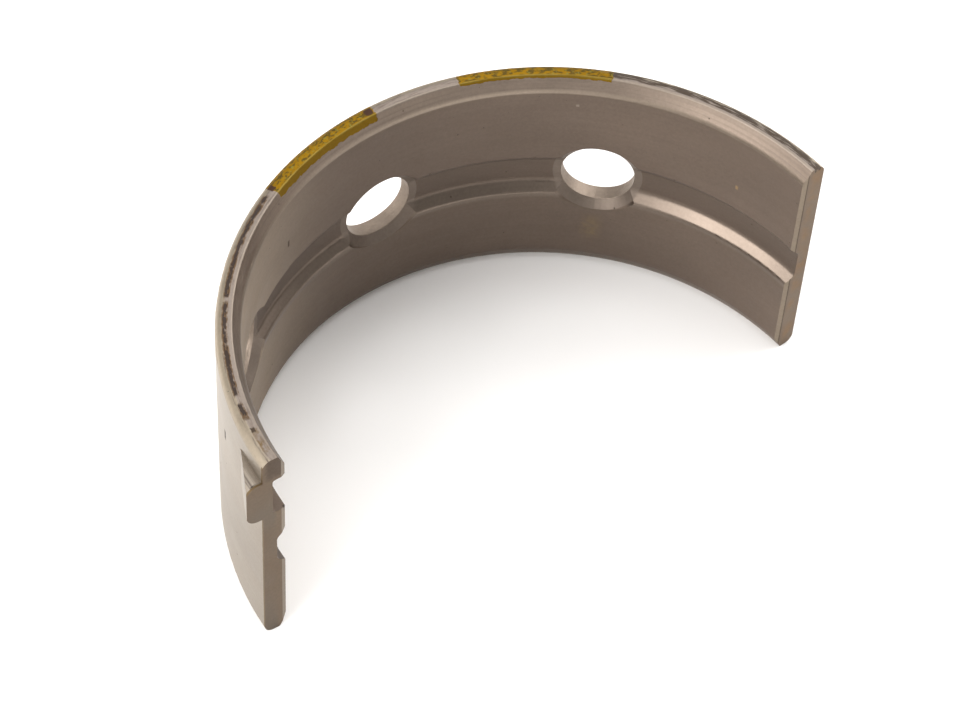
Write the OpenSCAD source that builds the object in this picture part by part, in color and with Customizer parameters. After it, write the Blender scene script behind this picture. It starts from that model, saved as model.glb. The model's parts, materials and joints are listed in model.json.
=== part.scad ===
// Half shell of a split plain bearing for an engine crankshaft, drawn in its free state.
// Z is the journal axis, and the origin lies on it at mid width. The crown points to +Y.
// The plain parting face is on the +X side, the one with the locating lug on the -X side.

/* [Shell] */
// Bore of the housing that the shell is pressed into
housing_d = 39; // [30:0.5:60]
// Thickness of the wall
wall = 1.5; // [1.4:0.05:2.5]
// Width of the shell along the journal
width = 17; // [14:0.5:30]
// Angle that the shell spans when it is sprung open, out of its housing
free_arc = 174.3; // [168:0.1:179]

/* [Edges] */
// Radial reach of the chamfers along the inner side edges
chamfer_radial = 0.5; // [0.3:0.05:0.5]
// Axial reach of the same chamfers
chamfer_axial = 1; // [0.5:0.05:1.4]
// Radius where each chamfer meets the bore
chamfer_round = 0.7; // [0.2:0.05:0.7]
// Radius where each chamfer meets its side face
rim_round = 0.12; // [0.05:0.01:0.2]
// Radius along the outer side edges
back_round = 0.6; // [0.2:0.05:0.6]
// Radial width of the relief along the inner edge of each parting face
relief_width = 0.3; // [0.1:0.05:0.5]
// Depth of that relief behind the parting face
relief_depth = 0.15; // [0.05:0.05:0.4]

/* [Oil groove] */
// Place of the groove's middle along the journal, from mid width. The oil holes follow it
groove_offset = -0.3; // [-1:0.05:1]
// Width of the groove where it meets the bore
groove_width = 3.25; // [2.5:0.05:4.5]
// Depth of the groove below the bore
groove_depth = 0.62; // [0.4:0.02:0.8]
// Slope of the groove's walls, up from its floor
groove_slope = 45; // [40:5:70]
// Radius between the groove's floor and its walls
groove_round = 0.5; // [0.1:0.05:0.6]
// Radius of the groove's lips, where its walls meet the bore
lip_round = 0.3; // [0.1:0.05:0.5]

/* [Oil holes] */
// Diameter of each hole
hole_d = 4.7; // [3:0.1:5.5]
// Depth of the countersink round each hole, on the bore side
countersink = 0.5; // [0.2:0.05:0.6]
// Number of holes along the groove
hole_count = 3; // [1:1:3]
// Angle from the plain parting face to the first hole
first_hole = 43; // [30:0.5:50]
// Angle from one hole to the next
hole_pitch = 43.65; // [35:0.05:50]

/* [Locating lug] */
// Width of the lug along the journal
lug_width = 3.4; // [2.5:0.1:4.5]
// Height of the lug above the back of the shell, at the parting face
lug_height = 1.05; // [0.6:0.05:1.5]
// Length over which the lug runs down to the back
lug_length = 2.8; // [2:0.1:5]
// Distance from the upper side face to the lug
lug_edge = 1.85; // [1.3:0.05:3]
// Radius of the lug's two outer corners
lug_round = 0.75; // [0.2:0.05:0.8]

/* [Lug recess] */
// Depth of the recess pressed into the bore behind the lug, at the parting face
recess_depth = 0.86; // [0.4:0.02:1.1]
// Length over which the recess runs out into the bore
recess_length = 2.6; // [1.5:0.1:4]
// Distance by which the recess is narrower than the lug, on each side
recess_margin = 0.15; // [0:0.05:0.5]
// Radius of the recess's two deep corners
recess_round = 0.2; // [0.1:0.05:0.4]

/* [Hidden] */
$fn = 96;

// The back keeps the length of the housing's half circle when it springs open
back_r = housing_d / 2 * 180 / free_arc;
bore_r = back_r - wall;
half_width = width / 2;
plain_end = 90 - free_arc / 2;
lug_end = 90 + free_arc / 2;
lug_top = half_width - lug_edge;
lug_bottom = lug_top - lug_width;

// Share of its own size by which an edge cut runs past the edge, and how far other cuts run past a face
overcut = 0.25;
past_face = 1;

// Factor on the circles that round the section, so that they cross its edges and don't just touch them
crossing = 1.001;

// Corners of one half of the wall's section, from the groove's foot to the back, with side 1 for the upper half
// and -1 for the lower one: radius along X, journal axis along Y
function half_corners(side) = [
    [bore_r + groove_depth, groove_offset + side * (groove_width / 2 - groove_depth / tan(groove_slope))],
    [bore_r, groove_offset + side * groove_width / 2],
    [bore_r, side * (half_width - chamfer_axial)],
    [bore_r + chamfer_radial, side * half_width],
    [back_r, side * half_width]
];
half_rounds = [groove_round, lip_round, chamfer_round, rim_round, back_round];
last = 2 * len(half_rounds) - 1;
corners = [for (i = [0 : last]) i < last / 2 ? half_corners(1)[i] : half_corners(-1)[last - i]];
rounds = [for (i = [0 : last]) half_rounds[min(i, last - i)]];
groove_feet = [0, last];

function unit(v) = v / norm(v);
function to_last(i) = unit(corners[(i + last) % (last + 1)] - corners[i]);
function to_next(i) = unit(corners[(i + 1) % (last + 1)] - corners[i]);
function half_angle(i) = acos(to_last(i) * to_next(i)) / 2;
function reach(i) = rounds[i] / tan(half_angle(i));
function round_centre(i) = corners[i] + unit(to_last(i) + to_next(i)) * rounds[i] / sin(half_angle(i));

// Section of the finished wall: a polygon with its corners cut off, and the circles that round them
module wall_section() {
    difference() {
        union() {
            polygon([for (i = [0 : last]) each [
                corners[i] + to_last(i) * reach(i),
                corners[i] + to_next(i) * reach(i)
            ]]);
            for (i = [1 : last - 1])
                translate(round_centre(i)) circle(rounds[i] * crossing);
        }
        for (i = groove_feet)
            translate(round_centre(i)) circle(rounds[i] * crossing);
    }
}

// Triangle that takes a corner off along two legs, with the corner at the origin
module corner_cut(leg_x, leg_y) {
    polygon([
        [-leg_x * overcut, -leg_y * (1 + overcut)],
        [leg_x * (1 + overcut), leg_y * overcut],
        [-leg_x * overcut, leg_y * overcut]
    ]);
}

// Puts a shape at an end of the shell: X is the radius, and Y runs from the parting face into the shell
module at_plain_end() {
    rotate([0, 0, plain_end]) children();
}

module at_lug_end() {
    rotate([0, 0, lug_end]) mirror([0, 1, 0]) children();
}

// Wedge that a punch presses outwards: full height at the parting face, running out on the radius base_r
module pressed_wedge(base_r, rise, run, corner, bottom, top, lead) {
    tail_x = sqrt(base_r * base_r - run * run);
    root_x = tail_x - wall / 2;
    crest_x = base_r + rise;
    ramp = (crest_x - tail_x) / run;
    intersection() {
        translate([0, run, 0]) rotate([90, 0, 0]) linear_extrude(run + lead) {
            translate([root_x, bottom]) square([crest_x - corner - root_x, top - bottom]);
            translate([root_x, bottom + corner]) square([crest_x - root_x, top - bottom - 2 * corner]);
            for (z = [bottom + corner, top - corner])
                translate([crest_x - corner, z]) circle(corner);
        }
        translate([0, 0, bottom]) linear_extrude(top - bottom)
            polygon([[root_x, -lead], [crest_x + ramp * lead, -lead], [tail_x, run], [root_x, run]]);
    }
}

module lug() {
    at_lug_end() pressed_wedge(back_r, lug_height, lug_length, lug_round, lug_bottom, lug_top, 0);
}

module lug_recess() {
    at_lug_end()
        pressed_wedge(bore_r, recess_depth, recess_length, recess_round,
                      lug_bottom + recess_margin, lug_top - recess_margin, past_face);
}

// Narrow relief along the inner edge of a parting face
module parting_relief() {
    linear_extrude(width + 2 * past_face, center = true)
        translate([bore_r, 0]) mirror([0, 1]) corner_cut(relief_width, relief_depth);
}

// The countersink's cone runs on inside the hole, where it cuts nothing
module oil_holes() {
    sink_run = past_face + countersink + hole_d / 4;
    sink_r = hole_d / 2 + countersink + past_face;
    for (i = [0 : hole_count - 1])
        rotate([0, 0, plain_end + first_hole + i * hole_pitch])
            translate([bore_r - past_face, 0, groove_offset]) rotate([0, 90, 0]) {
                cylinder(d = hole_d, h = wall + 2 * past_face);
                cylinder(r1 = sink_r, r2 = sink_r - sink_run, h = sink_run);
            }
}

module bearing_shell() {
    color([0.62, 0.58, 0.52]) difference() {
        union() {
            rotate([0, 0, plain_end]) rotate_extrude(angle = free_arc) wall_section();
            lug();
        }
        lug_recess();
        at_plain_end() parting_relief();
        at_lug_end() parting_relief();
        oil_holes();
    }
}

bearing_shell();
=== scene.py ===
"""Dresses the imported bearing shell: tin-plated back, dull lining, paint marks and handling wear."""
import json
import math

import bpy
from mathutils import Matrix, Vector


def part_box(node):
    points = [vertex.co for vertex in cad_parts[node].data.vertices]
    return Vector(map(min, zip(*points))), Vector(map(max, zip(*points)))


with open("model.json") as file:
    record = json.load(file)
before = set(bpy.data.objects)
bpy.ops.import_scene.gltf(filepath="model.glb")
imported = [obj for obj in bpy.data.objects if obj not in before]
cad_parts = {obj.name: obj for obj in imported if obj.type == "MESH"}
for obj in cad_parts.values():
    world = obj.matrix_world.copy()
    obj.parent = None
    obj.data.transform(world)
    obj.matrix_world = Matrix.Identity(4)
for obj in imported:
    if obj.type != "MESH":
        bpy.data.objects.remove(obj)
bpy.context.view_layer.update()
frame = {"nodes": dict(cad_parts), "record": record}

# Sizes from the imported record, in millimetres as the material uses them, and degrees from the crown
MM = 0.001
mounts = {mount["name"]: mount for mount in frame["record"]["mounts"]}
BORE_R = mounts["journal_bore"]["dims"]["r_mm"]
BACK_R = mounts["housing_back"]["dims"]["r_mm"]
HOLE_R = mounts["oil_hole_crown"]["dims"]["r_mm"]
HOLES = [mount for name, mount in mounts.items() if name.startswith("oil_hole")]
GROOVE_HEIGHT = mounts["oil_hole_crown"]["pos_m"][2] / MM
HALF_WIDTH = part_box("bearing_shell")[1].z / MM
PARTING_ANGLE = 90 - math.degrees(math.asin(mounts["plain_parting_face"]["axis"][0]))

# Sizes of the section that the record doesn't hold, in millimetres
GROOVE_HALF = 1.625
GROOVE_DEPTH = 0.62
CHAMFER_RADIAL = 0.5
CHAMFER_AXIAL = 1.0
COUNTERSINK = 0.5
RELIEF_WIDTH = 0.3
RELIEF_DEPTH = 0.15
RELIEF_TURN = math.degrees(RELIEF_DEPTH / BORE_R)

# Places that several coats share
GROOVE_FLOOR = BORE_R + GROOVE_DEPTH
GROOVE_FOOT = GROOVE_HEIGHT - GROOVE_HALF
GROOVE_HEAD = GROOVE_HEIGHT + GROOVE_HALF
CHAMFER_RIM = BORE_R + CHAMFER_RADIAL
CHAMFER_START = HALF_WIDTH - CHAMFER_AXIAL
RELIEF_RIM = BORE_R + RELIEF_WIDTH

# Bounds of an area: low end and high end, None where it is open, then how soft and how ragged both are
UPPER_EDGE = (HALF_WIDTH - 0.25, None, 0.05, 0)
LINING = (None, BORE_R + 0.2, 0.35, 0)
LINING_SKIN = (None, BORE_R + 0.1, 0.1, 0)
PAST_PARTING = (PARTING_ANGLE - 0.03, None, 0.03, 0)
LUG_END = (None, 0.03 - PARTING_ANGLE, 0.03, 0)
RIM = (CHAMFER_RIM - 0.02, CHAMFER_RIM + 0.05, 0.03, 0.02)

# The two paint marks on the upper edge, and the three pieces of the dark line there
PAINT = (
    {"angle": (-26.4, -0.6, 0.25, 0.5), "height": (HALF_WIDTH - 0.42, None, 0.02, 0.16)},
    {"angle": (16.7, 44.8, 0.25, 0.5), "height": (HALF_WIDTH - 0.17, None, 0.02, 0.1)},
)
CREVICE_PIECES = ((-51.3, -28.5), (-72.5, -53), (-77.3, -74.9))

# Cell sizes of the surface patterns, in millimetres along the arc, the height and the radius, and detail.
# Grit and drawn lines are finer on the real strip, and are drawn as coarse as they need to show.
PATTERNS = {
    "haze": ((9, 5, 5), 2),
    "cloud": ((2.2, 1.6, 1.6), 3),
    "drawn_lines": ((16, 0.22, 0.16), 2),
    "ragged": ((0.45, 0.3, 0.3), 4),
    "fleck": ((1.1, 0.5, 0.12), 4),
    "speck": ((0.34, 0.2, 0.16), 3),
    "grit": ((0.18, 0.18, 0.18), 2),
}

# Pits, in millimetres. Only a cell above the rank holds one, and the highest has the full radius.
PIT_SPACING = 1.9
PIT_RADIUS = 0.05
PIT_RANK = 0.6

# Plating of the back, which shows where no coat lies
PLATING = ("#968C80", 0.4, 1.0)

# Each coat lies over the one before: name, colour, roughness, metallic, then the patterns that break it up,
# with the values where each one starts and is full, then its areas, which may name an earlier coat
COATS = (
    # Dull lining inside the arc, lighter towards the lug as painted light, with the oil groove, a painted
    # highlight on its lower ledge, and the lug's recess
    ("lining", "#66584D", 0.55, 0.6, (), [{"radius": LINING}]),
    # Painted light: the lining is painted lighter towards the lug, to stand in for light falling there
    ("lining_by_lug", "#8A7B6B", 0.55, 0.6, (), [{"radius": LINING, "angle": (None, -44, 38, 0)}]),
    ("groove", "#62554B", 0.5, 0.7, (), [{
        "radius": (None, GROOVE_FLOOR + 0.02, 0.03, 0),
        "height": (GROOVE_FOOT, GROOVE_HEAD, 0.2, 0)}]),
    # Painted highlight: the groove's lower ledge is painted lighter and greyer, and is also given a smoother
    # finish
    ("groove_ledge", "#75695F", 0.36, 1.0, (), [{
        "radius": (None, GROOVE_FLOOR - 0.1, 0.12, 0),
        "height": (GROOVE_FOOT - 0.15, GROOVE_HEIGHT - 1.0, 0.4, 0)}]),
    ("lug_recess", "#6E6157", 0.55, 0.8, (), [{
        "radius": (None, BORE_R + 1.0, 0.03, 0),
        "angle": (-90, -76, 0.5, 0),
        "height": (3.2, 6.8, 0.1, 0)}]),

    # Cut chamfer with its tool lines and a painted highlight at its foot, and the drilled holes
    ("chamfer", "#887A6E", 0.4, 1.0, (), [{
        "radius": (None, CHAMFER_RIM + 0.05, 0.05, 0),
        "height": (CHAMFER_START + 0.1, None, 0.15, 0)}]),
    ("chamfer_lines", "#7F7267", 0.48, 1.0, [("drawn_lines", 0.45, 0.65)], ["chamfer"]),
    # Painted highlight: a lighter line where the chamfer meets the bore, standing in for the rounded edge
    # the mesh lacks
    ("chamfer_foot", "#897C6F", 0.42, 1.0, (), [{
        "radius": (None, BORE_R + 0.12, 0.05, 0),
        "height": (CHAMFER_START - 0.08, CHAMFER_START + 0.1, 0.14, 0)}]),
    ("countersink", "#776B61", 0.55, 0.8, (), [{
        "hole_reach": (None, HOLE_R + COUNTERSINK, 0.03, 0),
        "radius": (None, BACK_R - 0.1, 0.05, 0)}]),
    ("hole_wall", "#8A7D71", 0.55, 1.0, (), [{"hole_reach": (None, HOLE_R + 0.02, 0.02, 0)}]),

    # Thin edges with painted highlights where the back turns over and along the rim, grey lines and a brown
    # stain by the lug, and painted shade of the flutes on the lug's flank
    # Painted highlight: the back is painted lighter near its upper edge, where it turns over
    ("back_edge", "#9F9382", 0.45, 1.0, (), [{
        "radius": (19.68, None, 0.06, 0.05),
        "height": (HALF_WIDTH - 0.3, None, 0.7, 0)}]),
    ("side_ring", "#8B8077", 0.45, 1.0, (), [{
        "radius": (BORE_R + 0.58, BACK_R - 0.55, 0.06, 0.05),
        "edge_height": (HALF_WIDTH - 0.06, None, 0.04, 0)}]),
    # Painted highlight: a thin lighter line along the rim between the chamfer and the flat edge
    ("rim", "#8C8176", 0.55, 1.0, (), [{"radius": RIM, "height": UPPER_EDGE}]),
    ("grey_lines", "#776B62", 0.55, 1.0, [("fleck", 0.5, 0.66)], [{
        "angle": (-90, 55, 3, 0),
        "radius": (19.25, 19.8, 0.05, 0.05),
        "height": UPPER_EDGE}]),
    ("lug_stain", "#6F5A3E", 0.6, 0.7, [("ragged", 0.35, 0.6)], [{
        "angle": (-84.6, -80.4, 0.8, 1.0),
        "radius": (19.3, 19.6, 0.1, 0.12),
        "height": UPPER_EDGE}]),
    ("lug_stain_dark", "#3A2B1C", 0.7, 0.2, (), [{
        "angle": (-80.6, -79.8, 0.3, 0.5),
        "radius": (19.42, 19.62, 0.05, 0.08),
        "height": UPPER_EDGE}]),
    # Painted shade: dark streaks on the lug's upper flank stand in for the shade of its flutes, which are
    # not modelled
    ("lug_flutes", "#6E645D", 0.5, 1.0, [("drawn_lines", 0.48, 0.6)], [{
        "radius": (BACK_R + 0.12, None, 0.1, 0.04),
        "height": (5.95, None, 0.15, 0.1)}]),
    ("lug_outline", "#6C5A42", 0.6, 0.9, (), [{
        "angle": (None, 0.35 - PARTING_ANGLE, 0.15, 0.1),
        "radius": (BACK_R - 0.03, None, 0.02, 0)}]),

    # Bare brown steel of the cut ends, a little rust, and the brighter relief on their inner edges
    ("cut_end", "#68594A", 0.5, 1.0, (), [{"end_angle": PAST_PARTING}]),
    ("cut_end_grey", "#61574C", 0.5, 1.0, [("haze", 0.35, 0.6)], [{
        "angle": LUG_END,
        "radius": (19.5, None, 0.4, 0.2)}]),
    ("end_above_lug", "#594C41", 0.55, 1.0, (), [{
        "angle": LUG_END,
        "height": (7.1, None, 0.7, 0.3),
        "radius": (None, 19.7, 0.4, 0.15)}]),
    ("rust", "#7E6348", 0.6, 0.8, [("cloud", 0.4, 0.75)], [{
        "radius": (BORE_R + 0.75, BORE_R + 1.2, 0.35, 0.2),
        "angle": PAST_PARTING}]),
    ("relief", "#7B6F61", 0.48, 1.0, (), [{
        "relief_angle": (PARTING_ANGLE - RELIEF_TURN - 0.04, None, 0.04, 0),
        "radius": (None, RELIEF_RIM, 0.02, 0)}]),
    ("relief_line", "#55473A", 0.6, 0.6, (), [{
        "radius": (RELIEF_RIM - 0.03, RELIEF_RIM + 0.03, 0.03, 0.03),
        "angle": (PARTING_ANGLE - 0.1, None, 0.03, 0)}]),

    # Stain under a hole, dark flecks and the dark broken line on the upper edge, pits, and a black crumb
    ("hole_stain", "#7A684F", 0.55, 0.7, [("ragged", 0.2, 0.8)], [{
        "angle": (43.6, 44.4, 2.4, 0.8),
        "height": (-5.2, -4.6, 1.3, 0.6),
        "radius": LINING_SKIN}]),
    ("flecks", "#3F3226", 0.7, 0.2, [("fleck", 0.36, 0.5)], [{
        "angle": (42, 86.3, 9, 0),
        "radius": (19.34, 19.8, 0.05, 0.05),
        "height": UPPER_EDGE}]),
    ("crevice_edge", "#5F4932", 0.65, 0.5, [("ragged", 0.3, 0.5)], [{
        "angle": (low, high, 0.8, 0.9),
        "radius": (19.42, 19.72, 0.05, 0.12),
        "height": UPPER_EDGE} for low, high in CREVICE_PIECES]),
    ("crevice", "#2A1B10", 0.8, 0.0, [("speck", 0.34, 0.44)], [{
        "angle": (low, high, 0.5, 0.9),
        "radius": (19.48, 19.66, 0.025, 0.13),
        "height": UPPER_EDGE} for low, high in CREVICE_PIECES]),
    ("pits", "#453A30", 0.6, 0.6, [("pit", 0, 1)], []),
    ("residue", "#1D1814", 0.8, 0.0, (), [{
        "angle": (None, -86.7, 0.3, 0.4),
        "height": (3.3, 3.4, 0.03, 0.06),
        "radius": (18.4, 18.78, 0.06, 0.12)}]),

    # Thin ochre paint, darker and worn in specks on the flat edge, paler on the rim, with two brown stains
    ("paint", "#74580A", 0.55, 0.8, (), PAINT),
    ("paint_face", "#8B6806", 0.6, 0.85, [("radius", CHAMFER_RIM, CHAMFER_RIM + 0.1)], ["paint"]),
    ("paint_dark", "#54420A", 0.6, 0.7, [("speck", 0.47, 0.57)], ["paint_face"]),
    ("paint_worn", "#746C2C", 0.55, 0.8, [("grit", 0.6, 0.7)], ["paint_face"]),
    ("paint_line", "#7E692C", 0.5, 0.9, [("cloud", 0.3, 0.5)], [{**mark, "radius": RIM} for mark in PAINT]),
    ("paint_stain", "#3A200A", 0.6, 0.5, (), [
        {"angle": (-26.6, -25.6, 0.2, 0.4), "radius": (19.45, 19.8, 0.05, 0.1), "height": UPPER_EDGE},
        {"angle": (-2.0, -0.8, 0.3, 0.4), "radius": (19.3, 19.7, 0.08, 0.1), "height": UPPER_EDGE}]),

    # Single marks of handling on the back and on the lining
    ("back_dash", "#241B14", 0.65, 0.5, (), [{
        "angle": (-70.75, -70.2, 0.2, 0.15),
        "height": (3.65, 4.4, 0.12, 0.08),
        "radius": (BACK_R - 0.1, None, 0.1, 0)}]),
    ("lining_scratch", "#463A30", 0.65, 0.5, (), [{
        "angle": (-25.5, -25.2, 0.2, 0.15),
        "height": (3.5, 3.9, 0.12, 0.08),
        "radius": LINING_SKIN}]),
    ("lining_nick", "#84776B", 0.65, 0.5, (), [{
        "angle": (38.9, 39.25, 0.2, 0.15),
        "height": (6.3, 6.38, 0.12, 0.08),
        "radius": LINING_SKIN}]),
    ("lining_spot", "#8A7253", 0.65, 0.5, (), [{
        "angle": (72.0, 72.4, 0.2, 0.15),
        "height": (3.2, 3.4, 0.12, 0.08),
        "radius": LINING_SKIN}]),
)

# How far each pattern shades the colour, and cloud the roughness, from its dark value to its light one
SHADES = {"haze": 0.14, "cloud": 0.06, "drawn_lines": 0.05, "grit": 0.1}
ROUGHNESS_SHADE = 0.16
PATTERN_DARK = 0.3
PATTERN_LIGHT = 0.7

# Fine relief in millimetres, below nought where it is sunk
LINE_RELIEF = 0.002
GRIT_RELIEF = 0.003
TORN_RELIEF = 0.05
COAT_RELIEF = {"pits": -0.02, "crevice": -0.06, "flecks": -0.02, "paint": 0.02, "residue": 0.03}

# Camera at the photograph's angle, worked out from the shell's own outline
CAMERA_AIM = Vector((-1.7, 5.5, 0)) * MM
CAMERA_DISTANCE = 191.4 * MM
CAMERA_AZIMUTH = 38.6
CAMERA_ELEVATION = 52.1
CAMERA_ROLL = 4.0
CAMERA_LENS = 119.25
CAMERA_SENSOR = 36
CAMERA_CLIP = 0.01

# Softboxes: name, azimuth and elevation in degrees, side in metres, power in watts
SOFTBOXES = (
    ("left_softbox", -92, 29, 0.4, 3.0),
    ("right_softbox", 92, 34, 0.4, 1.8),
    ("top_softbox", 150, 78, 0.5, 1.4),
)
SOFTBOX_DISTANCE = 0.5

# Surroundings: the direction of the dim side, and their strength on the bright side and on the dim one
DIM_SIDE = (0.64, -0.77, 0)
BRIGHT_GLOW = 0.9
DIM_GLOW = 0.45
FLOOR_SIDE = 4.0


def linear(code):
    """Linear RGBA of an sRGB hex colour."""
    parts = [int(code[i:i + 2], 16) / 255 for i in (1, 3, 5)]
    return [c / 12.92 if c <= 0.04045 else ((c + 0.055) / 1.055) ** 2.4 for c in parts] + [1.0]


def add(tree, kind, inputs=None, **settings):
    """Adds a shader node with its settings, and links or sets its inputs."""
    node = tree.nodes.new("ShaderNode" + kind)
    for name, value in settings.items():
        setattr(node, name, value)
    for key, value in (inputs or {}).items():
        if isinstance(value, bpy.types.Node):
            value = value.outputs[0]
        if isinstance(value, bpy.types.NodeSocket):
            tree.links.new(value, node.inputs[key])
        else:
            node.inputs[key].default_value = value
    return node


def new_material(name):
    """A node material and its shader."""
    material = bpy.data.materials.new(name)
    material.use_nodes = True
    return material, material.node_tree.nodes["Principled BSDF"]


def strip_places(tree):
    """Places on the rolled strip, in degrees from the crown and in millimetres, and the patterns there."""
    place = add(tree, "TexCoord").outputs["Object"]
    place = add(tree, "VectorMath", {0: place, "Scale": 1 / MM}, operation="SCALE")
    parts = add(tree, "SeparateXYZ", {0: place})
    flat = add(tree, "CombineXYZ", {0: parts.outputs[0], 1: parts.outputs[1]})
    turn = add(tree, "Math", {0: parts.outputs[0], 1: parts.outputs[1]}, operation="ARCTAN2")
    at = {"height": parts.outputs[2]}
    at["radius"] = add(tree, "VectorMath", {0: flat}, operation="LENGTH").outputs["Value"]
    at["angle"] = add(tree, "Math", {0: turn, 1: 180 / math.pi}, operation="MULTIPLY")
    at["end_angle"] = add(tree, "Math", {0: at["angle"]}, operation="ABSOLUTE")
    at["edge_height"] = add(tree, "Math", {0: at["height"]}, operation="ABSOLUTE")
    slant = add(tree, "Math", {0: at["radius"], 1: -RELIEF_TURN / RELIEF_WIDTH,
                               2: BORE_R * RELIEF_TURN / RELIEF_WIDTH}, operation="MULTIPLY_ADD")
    at["relief_angle"] = add(tree, "Math", {0: at["end_angle"], 1: slant})
    for hole in HOLES:
        offset = add(tree, "VectorMath", {0: place, 1: [-c / MM for c in hole["pos_m"]]})
        across = add(tree, "VectorMath", {0: offset, 1: hole["axis"]}, operation="CROSS_PRODUCT")
        reach = add(tree, "VectorMath", {0: across}, operation="LENGTH").outputs["Value"]
        if "hole_reach" in at:
            reach = add(tree, "Math", {0: reach, 1: at["hole_reach"]}, operation="MINIMUM")
        at["hole_reach"] = reach
    arc = add(tree, "Math", {0: turn, 1: BACK_R}, operation="MULTIPLY")
    strip = add(tree, "CombineXYZ", {0: arc, 1: at["height"], 2: at["radius"]})
    for name, (cells, detail) in PATTERNS.items():
        scaled = add(tree, "VectorMath", {0: strip, 1: [1 / c for c in cells]}, operation="MULTIPLY")
        at[name] = add(tree, "TexNoise", {"Vector": scaled, "Scale": 1.0, "Detail": detail}).outputs[0]
    pits = add(tree, "TexVoronoi", {"Vector": strip, "Scale": 1 / PIT_SPACING}, voronoi_dimensions="2D")
    rank = add(tree, "SeparateColor", {0: pits.outputs["Color"]})
    size = add(tree, "MapRange", {"Value": rank, "From Min": PIT_RANK, "From Max": 1, "To Max": PIT_RADIUS})
    at["pit"] = add(tree, "MapRange", {"Value": pits.outputs["Distance"], "From Min": size, "From Max": 0.0},
                    interpolation_type="SMOOTHSTEP")
    return at


def area(tree, at, edges):
    """Mask of an area of the strip, from its bounds in some of the places."""
    mask = None
    for name, (low, high, soft, rag) in edges.items():
        value = at[name]
        if rag:
            value = add(tree, "Math", {0: at["ragged"], 1: 2 * rag, 2: -rag}, operation="MULTIPLY_ADD")
            value = add(tree, "Math", {0: at[name], 1: value})
        for end, outwards in ((low, -soft), (high, soft)):
            if end is None:
                continue
            side = add(tree, "MapRange", {"Value": value, "From Min": end + outwards, "From Max": end},
                       interpolation_type="SMOOTHSTEP")
            mask = side if mask is None else add(tree, "Math", {0: mask, 1: side}, operation="MULTIPLY")
    return mask


def coat_mask(tree, at, masks, breaks, areas):
    """Where a coat lies: its areas together, left only where each pattern rises from its start to full."""
    mask = None
    for edges in areas:
        spread = masks[edges] if isinstance(edges, str) else area(tree, at, edges)
        mask = spread if mask is None else add(tree, "Math", {0: mask, 1: spread}, operation="MAXIMUM")
    for pattern, start, full in breaks:
        left = add(tree, "MapRange", {"Value": at[pattern], "From Min": start, "From Max": full})
        mask = left if mask is None else add(tree, "Math", {0: mask, 1: left}, operation="MULTIPLY")
    return mask


def tin_plated_shell():
    """Tin-flashed bearing strip: pale satin back, dull warm lining, bare brown steel where it was cut."""
    material, shader = new_material("tin_plated_bearing_strip")
    tree = material.node_tree
    at = strip_places(tree)
    masks = {}
    code, roughness, metallic = PLATING
    colour = linear(code)
    for name, code, coat_roughness, coat_metallic, breaks, areas in COATS:
        mask = coat_mask(tree, at, masks, breaks, areas)
        masks[name] = mask
        colour = add(tree, "Mix", {0: mask, 6: colour, 7: linear(code)}, data_type="RGBA").outputs[2]
        roughness = add(tree, "Mix", {0: mask, 2: roughness, 3: coat_roughness})
        metallic = add(tree, "Mix", {0: mask, 2: metallic, 3: coat_metallic})

    # Uneven plating: broad haze, finer cloud, drawn lines along the arc, and grit
    shade = None
    for name, depth in SHADES.items():
        share = add(tree, "MapRange", {"Value": at[name],
                                       "From Min": PATTERN_DARK, "From Max": PATTERN_LIGHT,
                                       "To Min": 1 - depth / 2, "To Max": 1 + depth / 2}, clamp=False)
        shade = share if shade is None else add(tree, "Math", {0: shade, 1: share}, operation="MULTIPLY")
    colour = add(tree, "VectorMath", {0: colour, "Scale": shade}, operation="SCALE")
    share = add(tree, "MapRange", {"Value": at["cloud"],
                                   "From Min": PATTERN_DARK, "From Max": PATTERN_LIGHT,
                                   "To Min": 1 - ROUGHNESS_SHADE / 2, "To Max": 1 + ROUGHNESS_SHADE / 2})
    roughness = add(tree, "Math", {0: roughness, 1: share}, operation="MULTIPLY")
    tree.links.new(colour.outputs[0], shader.inputs["Base Color"])
    tree.links.new(roughness.outputs[0], shader.inputs["Roughness"])
    tree.links.new(metallic.outputs[0], shader.inputs["Metallic"])

    # Fine relief: drawn lines and grit all over, sunk pits and crevice, raised paint, torn hole walls
    height = add(tree, "Math", {0: at["drawn_lines"], 1: LINE_RELIEF}, operation="MULTIPLY")
    torn = add(tree, "Math", {0: masks["hole_wall"], 1: at["ragged"]}, operation="MULTIPLY")
    raised = [(at["grit"], GRIT_RELIEF)]
    raised += [(masks[name], rise) for name, rise in COAT_RELIEF.items()]
    raised += [(torn, TORN_RELIEF)]
    for mask, rise in raised:
        height = add(tree, "Math", {0: mask, 1: rise, 2: height}, operation="MULTIPLY_ADD")
    bump = add(tree, "Bump", {"Height": height, "Distance": MM, "Strength": 1.0})
    tree.links.new(bump.outputs[0], shader.inputs["Normal"])
    return material


def plain_floor():
    """Pale matt paper under the shell."""
    bpy.ops.mesh.primitive_plane_add(size=FLOOR_SIDE, location=(0, 0, -HALF_WIDTH * MM))
    floor = bpy.context.object
    floor.name = "floor"
    material, shader = new_material("pale_paper")
    shader.inputs["Base Color"].default_value = linear("#FBFAF9")
    shader.inputs["Roughness"].default_value = 0.9
    floor.data.materials.append(material)


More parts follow.
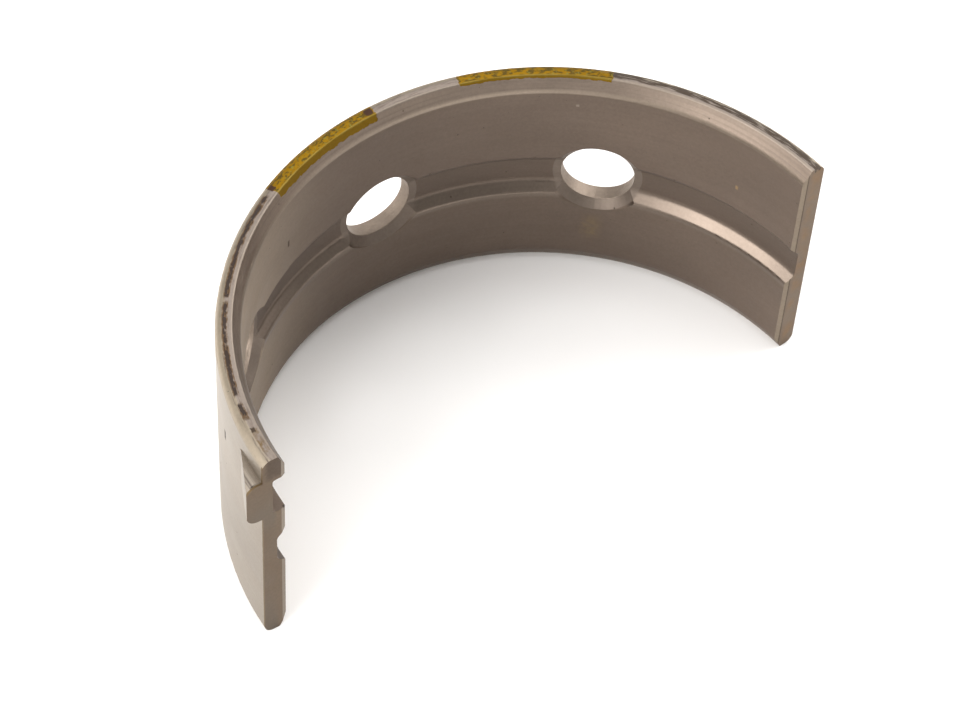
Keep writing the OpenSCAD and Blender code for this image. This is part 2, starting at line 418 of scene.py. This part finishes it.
def soft_light(name, azimuth, elevation, side, power):
    """A square softbox that faces the shell from a direction given in degrees."""
    turn = math.radians(azimuth)
    rise = math.radians(elevation)
    level = math.cos(rise)
    light = bpy.data.lights.new(name, "AREA")
    light.size = side
    light.energy = power
    lamp = bpy.data.objects.new(name, light)
    direction = Vector((math.sin(turn) * level, -math.cos(turn) * level, math.sin(rise)))
    lamp.location = direction * SOFTBOX_DISTANCE
    lamp.rotation_euler = lamp.location.to_track_quat("Z", "Y").to_euler()
    bpy.context.scene.collection.objects.link(lamp)


def studio():
    """Pale surroundings, dimmer to the front right, with softboxes on the left, on the right and above."""
    world = bpy.data.worlds.new("studio")
    world.use_nodes = True
    tree = world.node_tree
    away = add(tree, "VectorMath", {0: add(tree, "TexCoord"), 1: DIM_SIDE}, operation="DOT_PRODUCT")
    glow = add(tree, "MapRange", {"Value": away.outputs["Value"], "From Min": -1,
                                  "To Min": BRIGHT_GLOW, "To Max": DIM_GLOW})
    background = tree.nodes["Background"]
    background.inputs["Color"].default_value = linear("#F4F2EF")
    tree.links.new(glow.outputs[0], background.inputs["Strength"])
    bpy.context.scene.world = world
    for softbox in SOFTBOXES:
        soft_light(*softbox)
    bpy.context.scene.view_settings.view_transform = "Standard"


def photo_camera():
    """The camera, set by its aim, distance and angles."""
    camera = bpy.data.objects.new("camera", bpy.data.cameras.new("camera"))
    camera.data.lens = CAMERA_LENS
    camera.data.sensor_width = CAMERA_SENSOR
    camera.data.clip_start = CAMERA_CLIP
    turn = Matrix.Rotation(math.radians(-CAMERA_AZIMUTH), 4, "Z")
    tilt = Matrix.Rotation(math.radians(90 - CAMERA_ELEVATION), 4, "X")
    roll = Matrix.Rotation(math.radians(CAMERA_ROLL), 4, "Z")
    back = Matrix.Translation((0, 0, CAMERA_DISTANCE))
    camera.matrix_world = Matrix.Translation(CAMERA_AIM) @ turn @ tilt @ roll @ back
    bpy.context.scene.collection.objects.link(camera)
    bpy.context.scene.camera = camera


photo_camera()
plain_floor()
studio()
shell = frame["nodes"]["bearing_shell"]
shell.data.materials.clear()
shell.data.materials.append(tin_plated_shell())
